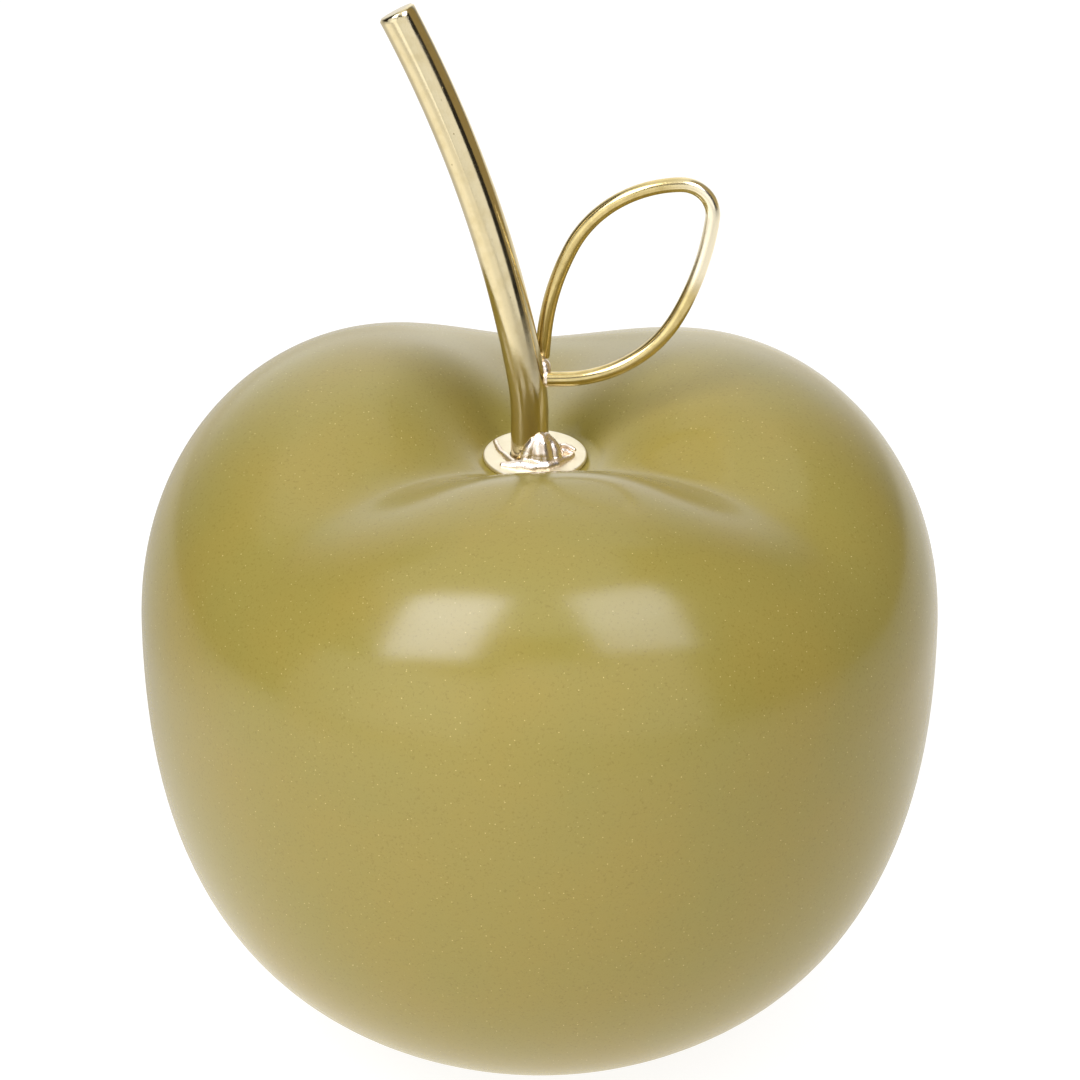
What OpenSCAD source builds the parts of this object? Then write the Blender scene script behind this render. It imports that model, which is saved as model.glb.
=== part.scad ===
// Decorative apple: a hollow glazed fruit with a bent metal stem and one leaf of bent wire.
// Millimetres, +Z up. The fruit's front faces -Y, and the origin is the middle of the
// underside, on the surface that the pads rest on.

/* [Fruit] */
// Width of the fruit across its belly
fruit_w = 106; // [90:1:125]
// Height of the belly above the foot ring
belly_h = 58.4; // [50:0.2:66]
// Height of the shoulders above the belly
shoulder_h = 32.9; // [29:0.1:38]
// Distance from the centre line to the top of the shoulders
shoulder_r = 24.4; // [22:0.2:28]
// Depth of the seat below the shoulders, at the bottom of the dimple
dimple_depth = 9.6; // [7:0.2:12]
// How far the grooves between the lobes dip below the shoulders
groove_dip = 8.6; // [3:0.2:9]
// Slope of the dimple's wall where a lobe leaves the seat
lobe_slope = 50; // [35:1:60]
// Slope of the dimple's wall where a groove leaves the seat
groove_slope = 15.5; // [8:0.5:20]
// How much higher the left lobe stands than the belly's level would put it
left_rise = 0.8; // [0:0.1:2]
// Thickness of the cast wall
wall_t = 4.5; // [3:0.1:6]
// Radius of the foot ring's outer edge
foot_r = 20; // [17:0.5:24]
// Radius of the hollow under the foot
recess_r = 12; // [9:0.5:13]
// Depth of the hollow under the foot
recess_d = 2; // [1:0.1:3]
// Slope of the underside where it meets the foot ring
foot_slope = 18; // [12:1:26]

/* [Disc and stem] */
// Diameter of the disc that closes the dimple
disc_d = 13.6; // [12.5:0.1:15]
// Thickness of the disc
disc_t = 0.6; // [0.5:0.1:2]
// How far the disc sits to the left of the hole
disc_shift = 0.6; // [0:0.1:0.8]
// Diameter of the hole through the seat
hole_d = 9.4; // [8.8:0.1:10.5]
// Diameter of the stem's rod
stem_d = 5; // [4:0.1:5.4]
// How far the stem stands to the left of the disc's middle
stem_shift = 0.7; // [0:0.1:0.9]
// Length of the stem that goes down through the disc
shank_l = 10; // [8:0.5:14]
// Straight length above the disc, before the first bend
stem_straight = 5.6; // [5:0.1:8]
// Radius of the stem's lower bend, on the centre line
lower_bend_r = 30; // [20:1:50]
// Angle of the stem's lower bend
lower_bend_angle = 11.2; // [8:0.2:15]
// Radius of the stem's upper bend, on the centre line
upper_bend_r = 138; // [100:1:200]
// Angle of the stem's upper bend
upper_bend_angle = 21.4; // [14:0.2:28]
// Direction in which the stem leans, turned from the right towards the back
stem_turn = 150; // [120:1:180]

/* [Leaf] */
// Length of the leaf from the stem to its tip
leaf_l = 34; // [28:0.5:42]
// Diameter of the leaf's wire
wire_d = 2; // [1.6:0.1:2.4]
// Length along the stem, from the disc, to the cut end of the leaf's upper limb
leaf_at = 12.9; // [11.9:0.1:15]
// Place of the upper limb round the stem, turned from the right towards the back
leaf_turn = 49; // [30:1:60]
// How far the leaf's plane is turned towards the back
leaf_yaw = 0.8; // [0:0.1:6]
// How far the upper limb leans to the right where it starts
leaf_lean = 4.5; // [0:0.5:8]
// Twist of the leaf at its tip
leaf_twist = 6.3; // [0:0.1:8]

/* [Pads] */
// Number of felt pads under the foot ring
pad_count = 4; // [3:1:6]
// Diameter of a pad
pad_d = 7; // [5:0.5:7]
// Thickness of a pad
pad_t = 1.5; // [1:0.1:3]

/* [Hidden] */

// Fineness of round parts
$fn = 96;
// Sides of the stem and of the leaf's wire
STEM_SIDES = 32;
WIRE_SIDES = 16;
// Most degrees from ring to ring round a bend of the stem, and of the wire
STEM_STEP = 2.4;
WIRE_STEP = 6;
// Steps round the fruit
TURNS = 72;
// Rings along the dimple's wall, the shoulder and the underside, on the outer skin
SKIN_RINGS = [8, 12, 10];
// The same on the inner skin, where nothing shows
LINING_RINGS = [3, 5, 4];

// Running past a face by this much, in every cut
overrun = 1;
// Clearance round the stem in the disc
disc_gap = 0.1;
// Thickness of the glue round the putty
bond_gap = 0.1;
// Clearance between the leaf's wire and the stem, which the braze bridges
braze_gap = 0.15;
// Bevel on the disc's rims, as a share of its thickness
disc_bevel_share = 0.3;
// Bevel on the stem's cut end
stem_bevel = 0.3;

// Radius of the belly, the disc, the stem, the wire and the hole
fruit_r = fruit_w / 2;
disc_r = disc_d / 2;
stem_r = stem_d / 2;
wire_r = wire_d / 2;
hole_r = hole_d / 2;

// Ring of seat that shows round the disc where it sits furthest off the middle
seat_margin = 0.3;
// Flat seat at the bottom of the dimple
seat_r = disc_r + disc_shift + seat_margin;
// Heights of the foot ring, belly, seat and disc above the surface
foot_z = pad_t;
belly_z = foot_z + belly_h;
seat_h = shoulder_h - dimple_depth;
seat_z = belly_z + seat_h;
disc_z = seat_z + disc_t;

// Where the grooves lie round the fruit: at the back, the front left and the front right,
// each as [direction, depth share, width in degrees]
groove_shares = [[90, 1.12, 33], [217, 0.82, 30], [329.3, 0.76, 25.5]];
// How sharply a groove's sides rise: 1 is a crease, 2 is a round valley
groove_power = 1.6;

// Pulls that round the outline, as shares of the distance that each one spans.
// Up the dimple's wall, on a lobe and in a groove
wall_pull_shares = [0.33, 0.26];
// In to the shoulder's top from the dimple
crest_pull_share = 0.41;
// Out from the shoulder's top, on a lobe and in a groove
shoulder_pull_shares = [0.545, 0.57];
// Up from the belly, on a lobe and in a groove
belly_pull_shares = [0.65, 0.7];
// Down from the belly
under_pull_share = 0.565;
// Out from the foot ring
foot_pull_share = 0.712;
// Width of the narrow first hole, which the drilled one takes in
pilot_share = 0.6;

// A value between a and b
function mix(a, b, t) = a + (b - a) * t;

// A point on the curve through p[0] and p[3] that p[1] and p[2] pull
function curve(p, t) =
    pow(1 - t, 3) * p[0] + 3 * t * pow(1 - t, 2) * p[1] + 3 * t * t * (1 - t) * p[2] + t * t * t * p[3];

// The direction in which that curve runs, of length 1
function heading(p, t) =
    let (d = pow(1 - t, 2) * (p[1] - p[0]) + 2 * t * (1 - t) * (p[2] - p[1]) + t * t * (p[3] - p[2]))
    d / norm(d);

// A curve's point moved inwards by a thickness, where the curve runs outwards and down
function inset(p, t, thickness) =
    let (d = heading(p, t)) curve(p, t) + thickness * [d[1], -d[0]];

// The angle between two directions
function apart(a, b) = abs((a - b + 540) % 360 - 180);

// How deep the grooves are in direction a, as a share of groove_dip
function groove(a, i = 0) =
    i == len(groove_shares) ? 0
    : groove_shares[i][1] * exp(-pow(apart(a, groove_shares[i][0]) / groove_shares[i][2], groove_power))
        + groove(a, i + 1);

// Height of the shoulder above the belly in direction a
function crest(a) = shoulder_h - groove_dip * groove(a) - left_rise * cos(a);

// The dimple's wall in direction a, from the seat to the shoulder's top
function dimple_side(a) =
    let (g = groove(a), slope = mix(lobe_slope, groove_slope, g), span = shoulder_r - seat_r)
    [[seat_r, seat_h],
     [seat_r, seat_h] + span * mix(wall_pull_shares[0], wall_pull_shares[1], g) * [cos(slope), sin(slope)],
     [shoulder_r - span * crest_pull_share, crest(a)],
     [shoulder_r, crest(a)]];

// The shoulder in direction a, from its top to the belly
function shoulder_side(a) =
    let (g = groove(a), span = fruit_r - shoulder_r)
    [[shoulder_r, crest(a)],
     [shoulder_r + span * mix(shoulder_pull_shares[0], shoulder_pull_shares[1], g), crest(a)],
     [fruit_r, crest(a) * mix(belly_pull_shares[0], belly_pull_shares[1], g)],
     [fruit_r, 0]];

// The underside, from the belly to the foot ring
function under_side() =
    [[fruit_r, 0],
     [fruit_r, -belly_h * under_pull_share],
     [foot_r, -belly_h] + (fruit_r - foot_r) * foot_pull_share * [cos(foot_slope), sin(foot_slope)],
     [foot_r, -belly_h]];

// The fruit's outline in direction a, from the seat to the foot, set in by a thickness
function side(a, rings, thickness) =
    let (parts = [dimple_side(a), shoulder_side(a), under_side()])
    [for (k = [0:2]) for (i = [(k == 0 ? 0 : 1):rings[k]]) inset(parts[k], i / rings[k], thickness)];

// The whole wall in direction a: up the lining, through the seat and down the skin
function wall_path(a) =
    let (lining = side(a, LINING_RINGS, wall_t), pilot_r = hole_r * pilot_share)
    concat(
        [[recess_r, wall_t + recess_d - belly_h]],
        [for (i = [len(lining) - 1:-1:0]) lining[i]],
        [[seat_r, seat_h - wall_t], [pilot_r, seat_h - wall_t], [pilot_r, seat_h]],
        side(a, SKIN_RINGS, 0));

// The wall as one closed skin of rings, with a flat cap on its first and last ring
module cast_wall() {
    paths = [for (i = [0:TURNS - 1]) wall_path(i * 360 / TURNS)];
    rings = len(paths[0]);
    points = [for (k = [0:rings - 1]) for (i = [0:TURNS - 1])
        let (a = i * 360 / TURNS) [paths[i][k][0] * cos(a), paths[i][k][0] * sin(a), paths[i][k][1]]];
    bands = [for (k = [0:rings - 2]) for (i = [0:TURNS - 1])
        let (j = (i + 1) % TURNS) [k * TURNS + i, k * TURNS + j, (k + 1) * TURNS + j, (k + 1) * TURNS + i]];
    first_cap = [for (i = [TURNS - 1:-1:0]) i];
    last_cap = [for (i = [0:TURNS - 1]) (rings - 1) * TURNS + i];
    polyhedron(points, concat(bands, [first_cap, last_cap]));
}

// The hollow cast fruit, with the stem's hole and the hollow of its foot
module apple_shell() {
    bowl_r = (recess_r * recess_r + recess_d * recess_d) / (2 * recess_d);
    color([0.66, 0.61, 0.38]) difference() {
        translate([0, 0, belly_z]) cast_wall();
        translate([0, 0, seat_z - wall_t - overrun]) cylinder(r = hole_r, h = wall_t + 2 * overrun);
        translate([0, 0, foot_z + recess_d - bowl_r]) sphere(r = bowl_r);
    }
}

// The felt pads that the foot ring stands on
module foot_pads() {
    color("dimgray")
        for (i = [0:pad_count - 1])
            rotate([0, 0, (i + 0.5) * 360 / pad_count])
                translate([(foot_r + recess_r) / 2, 0, 0])
                    cylinder(d = pad_d, h = pad_t);
}

// A place on a bar is [point, side that it bends towards, heading].
// The same place further on, along a straight
function ahead(place, length) = [place[0] + length * place[2], place[1], place[2]];

// The same place further on, round a bend
function bent(place, radius, angle) =
    [place[0] + radius * ((1 - cos(angle)) * place[1] + sin(angle) * place[2]),
     cos(angle) * place[1] - sin(angle) * place[2],
     sin(angle) * place[1] + cos(angle) * place[2]];

// The same place, turned about its heading
function rolled(place, angle) =
    [place[0], cos(angle) * place[1] + sin(angle) * cross(place[2], place[1]), place[2]];

// A step along a bar is [length or radius, angle, roll after it], with no angle on a straight
function stepped(place, step, share) =
    step[1] == 0 ? ahead(place, step[0] * share) : bent(place, step[0], step[1] * share);

// The places along a row of steps, at most so many degrees apart
function places(place, steps, most, i = 0) =
    i == len(steps) ? []
    : let (rings = max(1, ceil(steps[i][1] / most)), last = stepped(place, steps[i], 1))
        concat([for (k = [1:rings]) stepped(place, steps[i], k / rings)],
            places(rolled(last, steps[i][2]), steps, most, i + 1));

// A round bar through a list of places, with its radius at each, closed at both ends
module bar(places, radii, sides) {
    points = [for (k = [0:len(places) - 1]) for (i = [0:sides - 1])
        let (p = places[k], a = i * 360 / sides)
            p[0] + radii[k] * (cos(a) * p[1] + sin(a) * cross(p[2], p[1]))];
    bands = [for (k = [0:len(places) - 2]) for (i = [0:sides - 1])
        let (j = (i + 1) % sides) [k * sides + i, (k + 1) * sides + i, (k + 1) * sides + j, k * sides + j]];
    first_cap = [for (i = [0:sides - 1]) i];
    last_cap = [for (i = [sides - 1:-1:0]) (len(places) - 1) * sides + i];
    polyhedron(points, concat(bands, [first_cap, last_cap]));
}

// The stem's bottom end, its steps up to the bevel, and the places along it
stem_start = [[-disc_shift - stem_shift, 0, seat_z - shank_l],
    [cos(stem_turn), sin(stem_turn), 0],
    [0, 0, 1]];
stem_steps = [[shank_l + disc_t + stem_straight, 0, 0],
    [lower_bend_r, lower_bend_angle, 0],
    [upper_bend_r, upper_bend_angle, 0]];
stem_places = concat([stem_start], places(stem_start, stem_steps, STEM_STEP));

// The place on the stem at a length above the disc, within its upper bend
function stem_place(length) =
    let (foot = ahead(stem_start, shank_l + disc_t + stem_straight),
        past = length - stem_straight - lower_bend_r * lower_bend_angle * PI / 180)
    bent(bent(foot, lower_bend_r, lower_bend_angle), upper_bend_r, past / upper_bend_r * 180 / PI);

// The stem: a straight shank through the disc, two bends and a bevelled end
module stem_rod() {
    tip = ahead(stem_places[len(stem_places) - 1], stem_bevel);
    radii = concat([for (p = stem_places) stem_r], [stem_r - stem_bevel]);
    color([0.92, 0.87, 0.7]) bar(concat(stem_places, [tip]), radii, STEM_SIDES);
}

// The disc, bevelled on both rims, with the hole that the stem passes through
module stem_disc() {
    bevel = disc_bevel_share * disc_t;
    outline = [[0, 0], [disc_r - bevel, 0], [disc_r, bevel], [disc_r, disc_t - bevel],
        [disc_r - bevel, disc_t], [0, disc_t]];
    color([0.93, 0.89, 0.76]) translate([-disc_shift, 0, seat_z]) difference() {
        rotate_extrude() polygon(outline);
        translate([-stem_shift, 0, -overrun]) cylinder(r = stem_r + disc_gap, h = disc_t + 2 * overrun);
    }
}

// The putty that holds the shank: it fills the hole and bulges under the seat
module anchor_putty() {
    plug_r = hole_r - bond_gap;
    bulge_r = seat_r - bond_gap;
    bulge_h = shank_l - wall_t;
    color("gray") difference() {
        translate([0, 0, seat_z]) {
            translate([0, 0, -wall_t - bond_gap]) cylinder(r = plug_r, h = wall_t);
            translate([0, 0, -wall_t - bond_gap - bulge_h / 2]) cylinder(r = bulge_r, h = bulge_h / 2);
            translate([0, 0, -wall_t - bond_gap - bulge_h])
                cylinder(r1 = plug_r, r2 = bulge_r, h = bulge_h / 2);
        }
        translate([-disc_shift - stem_shift, 0, seat_z - shank_l])
            cylinder(r = stem_r, h = shank_l + overrun);
    }
}

// Beads of weld round the stem's foot, each as [direction, reach, height, radius], where all
// but the direction are shares of the stem's diameter
weld_shares = [[-52, 0.556, 0.06, 0.48], [-50, 0.497, 0.4, 0.34], [-52, 0.456, 0.68, 0.23],
    [-12, 0.796, 0.1, 0.34], [-2, 1.04, 0.06, 0.22], [-88, 0.58, 0.04, 0.26], [-118, 0.57, 0.03, 0.2],
    [-150, 0.56, 0.05, 0.17]];

// The weld at the stem's foot, on the disc
module foot_weld() {
    color([0.95, 0.9, 0.82]) translate([-disc_shift - stem_shift, 0, disc_z]) difference() {
        for (bead = weld_shares)
            rotate([0, 0, bead[0]]) translate([bead[1] * stem_d, 0, bead[2] * stem_d])
                sphere(r = bead[3] * stem_d);
        translate([0, 0, -stem_d]) cylinder(r = disc_r + stem_d, h = stem_d);
        translate([0, 0, -overrun]) cylinder(r = stem_r, h = stem_straight + 2 * overrun);
    }
}

// The leaf's bends after its first straight, each as [radius as a share of the leaf's length,
// angle, share of the leaf's twist that comes after it]. The first angle counts from upright.
leaf_bend_shares = [[1.085, 26.2, 0], [0.462, 63.8, 1], [0.121, 97.8, 0], [1.157, 20.2, 0],
    [0.502, 62, 0]];
// Length of the leaf's first straight, as a share of its length
leaf_straight_share = 0.077;

// Distance from the stem's centre line to the wire's, where the upper limb lies beside the stem
leaf_offset = stem_r + wire_r + braze_gap;
// The cut end of the leaf's upper limb, heading up, upright at first and then with its lean
leaf_upright = [stem_place(leaf_at)[0] + leaf_offset * [cos(leaf_turn), sin(leaf_turn), 0],
    [cos(leaf_yaw), sin(leaf_yaw), 0], [0, 0, 1]];
leaf_start = bent(leaf_upright, 0, leaf_lean);
// The steps from there round to the lower limb's last straight, and the places along them
leaf_steps = concat([[leaf_straight_share * leaf_l, 0, 0]],
    [for (i = [0:len(leaf_bend_shares) - 1])
        let (b = leaf_bend_shares[i], leant = i == 0 ? leaf_lean : 0)
        [b[0] * leaf_l, b[1] - leant, -b[2] * leaf_twist]]);
leaf_places = concat([leaf_start], places(leaf_start, leaf_steps, WIRE_STEP));
leaf_bent = leaf_places[len(leaf_places) - 1];
// The stem beside the lower limb, and the last straight up to its side
leaf_foot = stem_place(leaf_bent[0][2] - disc_z);
leaf_last = leaf_bent[0][0] - leaf_foot[0][0] - stem_r - braze_gap;
leaf_end = ahead(leaf_bent, leaf_last);

// The leaf: one wire bent round to an outline, with both ends at the stem
module leaf_wire() {
    stops = concat(leaf_places, [leaf_end]);
    color([0.88, 0.8, 0.55]) bar(stops, [for (p = stops) wire_r], WIRE_SIDES);
}

// A straight cylinder from a place on a bar, back by one length and on by another
module straight(place, back, on, radius) {
    side = place[1];
    up = place[2];
    out = cross(up, side);
    multmatrix([[side[0], out[0], up[0], place[0][0]], [side[1], out[1], up[1], place[0][1]],
        [side[2], out[2], up[2], place[0][2]]])
        translate([0, 0, -back]) cylinder(r = radius, h = back + on);
}

// The braze that joins the leaf's two ends to the stem, hollowed by what it joins
module leaf_braze() {
    bead_r = wire_r + 2 * braze_gap;
    upper = stem_place(leaf_at)[0] + stem_r * [cos(leaf_turn), sin(leaf_turn), 0];
    lower = leaf_foot[0] + [stem_r, 0, 0];
    color([0.95, 0.88, 0.75]) difference() {
        for (t = [0:0.5:1]) translate(mix(upper, lower, t)) sphere(r = bead_r);
        straight(stem_place((leaf_at + leaf_foot[0][2] - disc_z) / 2), stem_d, stem_d, stem_r);
        straight(leaf_start, 0, 2 * wire_d, wire_r);
        straight(leaf_end, 2 * wire_d, 0, wire_r);
    }
}

apple_shell();
foot_pads();
anchor_putty();
stem_disc();
stem_rod();
foot_weld();
leaf_wire();
leaf_braze();
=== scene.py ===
"""Looks for a glazed decorative apple with a gilt stem and a leaf of bent wire.

Metres, +Z up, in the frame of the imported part. The fruit's front faces -Y.
"""

import logging
import math
from collections.abc import Callable, Sequence
from dataclasses import dataclass, field
from enum import Enum

import bmesh
import bpy
from mathutils import Matrix, Quaternion, Vector, noise
from mathutils.kdtree import KDTree


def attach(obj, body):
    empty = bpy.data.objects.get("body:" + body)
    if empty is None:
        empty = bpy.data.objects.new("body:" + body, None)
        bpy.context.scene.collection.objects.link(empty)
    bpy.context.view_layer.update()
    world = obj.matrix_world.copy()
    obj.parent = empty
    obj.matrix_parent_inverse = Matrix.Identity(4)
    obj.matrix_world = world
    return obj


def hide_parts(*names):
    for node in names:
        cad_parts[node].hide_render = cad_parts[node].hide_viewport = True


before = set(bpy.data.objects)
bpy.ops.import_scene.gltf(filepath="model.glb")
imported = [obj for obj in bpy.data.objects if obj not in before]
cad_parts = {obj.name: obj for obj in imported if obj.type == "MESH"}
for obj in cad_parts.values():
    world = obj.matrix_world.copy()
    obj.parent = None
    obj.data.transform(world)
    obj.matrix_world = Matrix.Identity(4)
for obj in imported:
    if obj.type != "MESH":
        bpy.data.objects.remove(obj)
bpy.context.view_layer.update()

log = logging.getLogger("apple")

MM = 0.001
UP = Vector((0.0, 0.0, 1.0))

# Settings that several nodes share
RGBA = {"data_type": "RGBA"}
SMOOTH = {"interpolation_type": "SMOOTHSTEP"}
MULTIPLY = {"operation": "MULTIPLY"}
MAXIMUM = {"operation": "MAXIMUM"}

Piece = bpy.types.Object
# What can feed an input of a node
Source = bpy.types.Node | bpy.types.NodeSocket | float


class Slot(Enum):
    """The record's material slots."""

    GLAZE = "glazed_body"
    FELT = "pad_felt"
    DISC = "gilded_disc"
    STEM = "gilded_stem"
    WELD = "gilded_weld"
    WIRE = "gilded_wire"


class Element(Enum):
    """What is selected in edit mode."""

    VERTS = "VERT"
    EDGES = "EDGE"
    FACES = "FACE"


# Helpers


def linear(colour: str) -> tuple[float, float, float, float]:
    """Turns an sRGB hex colour into linear values.

    Args:
        colour: Six hex digits.

    Returns:
        Linear red, green, blue and an alpha of 1.
    """
    values = []
    for start in (0, 2, 4):
        share = int(colour[start:start + 2], 16) / 255
        values.append(share / 12.92 if share <= 0.04045 else ((share + 0.055) / 1.055) ** 2.4)
    return values[0], values[1], values[2], 1.0


def feed(node: bpy.types.Node, inputs: dict) -> None:
    """Sets or links a node's inputs.

    Args:
        node: The node.
        inputs: Input name or number to its value, or to the socket or the node that feeds it.
            Of a node, its first output in use is taken.
    """
    for name, source in inputs.items():
        if isinstance(source, bpy.types.Node):
            source = next(socket for socket in source.outputs if socket.enabled)
        if isinstance(source, bpy.types.NodeSocket):
            node.id_data.links.new(source, node.inputs[name])
        else:
            node.inputs[name].default_value = source


def add_node(
    tree: bpy.types.NodeTree, kind: str, settings: dict | None = None, inputs: dict | None = None
) -> bpy.types.Node:
    """Adds one node with its settings, its inputs' values and its links.

    Args:
        tree: The node tree that gets the node.
        kind: The node's type name, without its leading ShaderNode.
        settings: Attribute name to value.
        inputs: Input name or number to value, socket or node, as feed takes them.

    Returns:
        The new node.
    """
    node = tree.nodes.new("ShaderNode" + kind)
    for name, value in (settings or {}).items():
        setattr(node, name, value)
    feed(node, inputs or {})
    return node


def ranged(source: Source, low: float, high: float, first: Source = 0.0, last: Source = 1.0) -> dict:
    """The inputs that map what lies between low and high to between first and last.

    Args:
        source: What is mapped.
        low: The value that gives first.
        high: The value that gives last.
        first: The result at low.
        last: The result at high.

    Returns:
        The inputs of a MapRange node.
    """
    return {"Value": source, "From Min": low, "From Max": high, "To Min": first, "To Max": last}


def pattern(place: Source, size_mm: float, **more: float) -> dict:
    """The inputs of a texture whose features have a real size.

    Args:
        place: The coordinates.
        size_mm: The size of one feature in millimetres.
        more: The texture's other inputs.

    Returns:
        The inputs of a texture node.
    """
    return {"Vector": place, "Scale": 1 / (size_mm * MM), **more}


def add_ramp(
    tree: bpy.types.NodeTree, factor: Source, stops: Sequence[tuple[float, str]]
) -> bpy.types.NodeSocket:
    """Adds a colour ramp.

    Args:
        tree: The node tree that gets the ramp.
        factor: What drives the ramp.
        stops: Position and sRGB hex colour of each stop, in order.

    Returns:
        The ramp's colour output.
    """
    ramp = add_node(tree, "ValToRGB", inputs={"Fac": factor})
    elements = ramp.color_ramp.elements
    while len(elements) < len(stops):
        elements.new(0.5)
    for element, (position, colour) in zip(elements, stops):
        element.position = position
        element.color = linear(colour)
    return ramp.outputs["Color"]


def begin_material(name: str) -> tuple[bpy.types.Material, bpy.types.Node, bpy.types.NodeSocket]:
    """Starts a material.

    Args:
        name: Its name, for the real material or process.

    Returns:
        The material, its shader and the object's own coordinates.
    """
    made = bpy.data.materials.new(name)
    made.use_nodes = True
    tree = made.node_tree
    return made, tree.nodes["Principled BSDF"], add_node(tree, "TexCoord").outputs["Object"]


def deselect() -> None:
    """Leaves nothing selected in object mode."""
    bpy.ops.object.select_all(action="DESELECT")


def take(piece: Piece) -> None:
    """Makes a piece the only selected and the active one.

    Args:
        piece: The piece.
    """
    deselect()
    piece.select_set(True)
    bpy.context.view_layer.objects.active = piece


def open_edit(piece: Piece, element: Element) -> None:
    """Opens a piece in edit mode with nothing selected.

    Args:
        piece: The piece.
        element: What is picked in it next: its points, edges or faces.
    """
    take(piece)
    bpy.ops.object.mode_set(mode="EDIT")
    bpy.context.tool_settings.mesh_select_mode = (
        element is Element.VERTS, element is Element.EDGES, element is Element.FACES)
    bpy.ops.mesh.select_all(action="DESELECT")


def close_edit() -> None:
    """Goes back to object mode."""
    bpy.ops.object.mode_set(mode="OBJECT")


def pick_all() -> None:
    """Selects the whole open mesh."""
    bpy.ops.mesh.select_all(action="SELECT")


def bake_place() -> None:
    """Puts the selected object's place, turn and scale into its mesh."""
    bpy.ops.object.transform_apply(location=True, rotation=True, scale=True)


def open_point(place: Vector) -> Piece:
    """Starts a mesh from one point.

    Args:
        place: The point.

    Returns:
        The mesh object, open in edit mode with its point selected.
    """
    deselect()
    bpy.ops.mesh.primitive_plane_add(size=MM, location=place)
    piece = bpy.context.active_object
    bake_place()
    open_edit(piece, Element.VERTS)
    pick_all()
    bpy.ops.mesh.merge(type="CENTER")
    return piece


def open_disc(
    place: Vector, radius: float, corners: int, turn: Sequence[float] = (0.0, 0.0, 0.0)
) -> Piece:
    """Starts a mesh from one round face.

    Args:
        place: Its middle.
        radius: Its radius in metres.
        corners: How many corners it has.
        turn: Its turn as Euler angles.

    Returns:
        The mesh object, open in edit mode with its face selected.
    """
    deselect()
    bpy.ops.mesh.primitive_circle_add(
        vertices=corners, radius=radius, fill_type="NGON", location=place, rotation=turn)
    piece = bpy.context.active_object
    bake_place()
    open_edit(piece, Element.FACES)
    pick_all()
    return piece


def draw_out(move: Vector) -> None:
    """Extrudes the selected faces by a move."""
    bpy.ops.mesh.extrude_region_move(TRANSFORM_OT_translate={"value": move})


def pick(piece: Piece, element: Element, test: Callable[[Vector, Vector], bool]) -> None:
    """Selects the edges or faces of the open mesh that pass a test, and no others.

    Args:
        piece: The piece that is open in edit mode.
        element: Which elements are tested.
        test: Gets an element's middle and its normal.
    """
    bpy.ops.mesh.select_all(action="DESELECT")
    mesh = bmesh.from_edit_mesh(piece.data)
    mesh.normal_update()
    if element is Element.EDGES:
        parts = [(edge, (edge.verts[0].co + edge.verts[1].co) / 2, edge.verts[0].normal)
                 for edge in mesh.edges]
    else:
        parts = [(face, face.calc_center_median(), face.normal) for face in mesh.faces]
    for part, middle, normal in parts:
        if test(middle, normal):
            part.select_set(True)
    mesh.select_flush_mode()
    bmesh.update_edit_mesh(piece.data)


def close_skin(piece: Piece, gap: float = 0.002 * MM) -> None:
    """Merges a piece's doubles and turns its faces outwards.

    Args:
        piece: The piece.
        gap: How close two points are to count as one, in metres.
    """
    open_edit(piece, Element.VERTS)
    pick_all()
    bpy.ops.mesh.remove_doubles(threshold=gap)
    bpy.ops.mesh.normals_make_consistent(inside=False)
    close_edit()


def settle(piece: Piece, name: str, angle: float) -> Piece:
    """Names a piece, puts its place into its mesh and shades it smooth up to an angle.

    Args:
        piece: The piece.
        name: Its name, also given to its mesh.
        angle: The sharpest edge that is still shaded smooth, in degrees.

    Returns:
        The same piece.
    """
    take(piece)
    bake_place()
    bpy.ops.object.shade_smooth_by_angle(angle=math.radians(angle))
    piece.name = name
    piece.data.name = name
    return piece


def apply_modifier(piece: Piece, kind: str, **settings: object) -> None:
    """Adds a modifier with its settings and applies it.

    Args:
        piece: The piece.
        kind: The modifier's type.
        settings: Its settings by name.
    """
    take(piece)
    modifier = piece.modifiers.new(kind.lower(), kind)
    for name, value in settings.items():
        setattr(modifier, name, value)
    bpy.ops.object.modifier_apply(modifier=modifier.name)


def move_points(piece: Piece, shift: Callable[[Vector, Vector], Vector]) -> None:
    """Moves each point of a finished mesh, as a sculptor would.

    Args:
        piece: The piece, in object mode.
        shift: Gets a point's place and normal, and gives the move.
    """
    moves = [shift(vert.co, vert.normal) for vert in piece.data.vertices]
    for vert, move in zip(piece.data.vertices, moves):
        vert.co += move
    piece.data.update()


def uneven(place: Vector, size: float, seed: tuple[float, float, float] = (0.0, 0.0, 0.0)) -> float:
    """Smooth noise between -1 and 1, whose humps are about a size in millimetres wide."""
    return noise.noise(place / (size * MM) + Vector(seed))


def hand_in(piece: Piece, slot: Slot, finish: bpy.types.Material, *nodes: str) -> None:
    """Gives a new piece its finish and its body, and hides the CAD nodes that it replaces.

    Args:
        piece: The finished piece.
        slot: The record's slot; not used.
        finish: Its material.
        nodes: The CAD nodes that it replaces.
    """
    piece.data.materials.clear()
    piece.data.materials.append(finish)
    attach(piece, "root")
    if nodes:
        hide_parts(*nodes)
    log.info("%s: %d faces, for %s", piece.name, len(piece.data.polygons), ", ".join(nodes))


# Finishes


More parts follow.
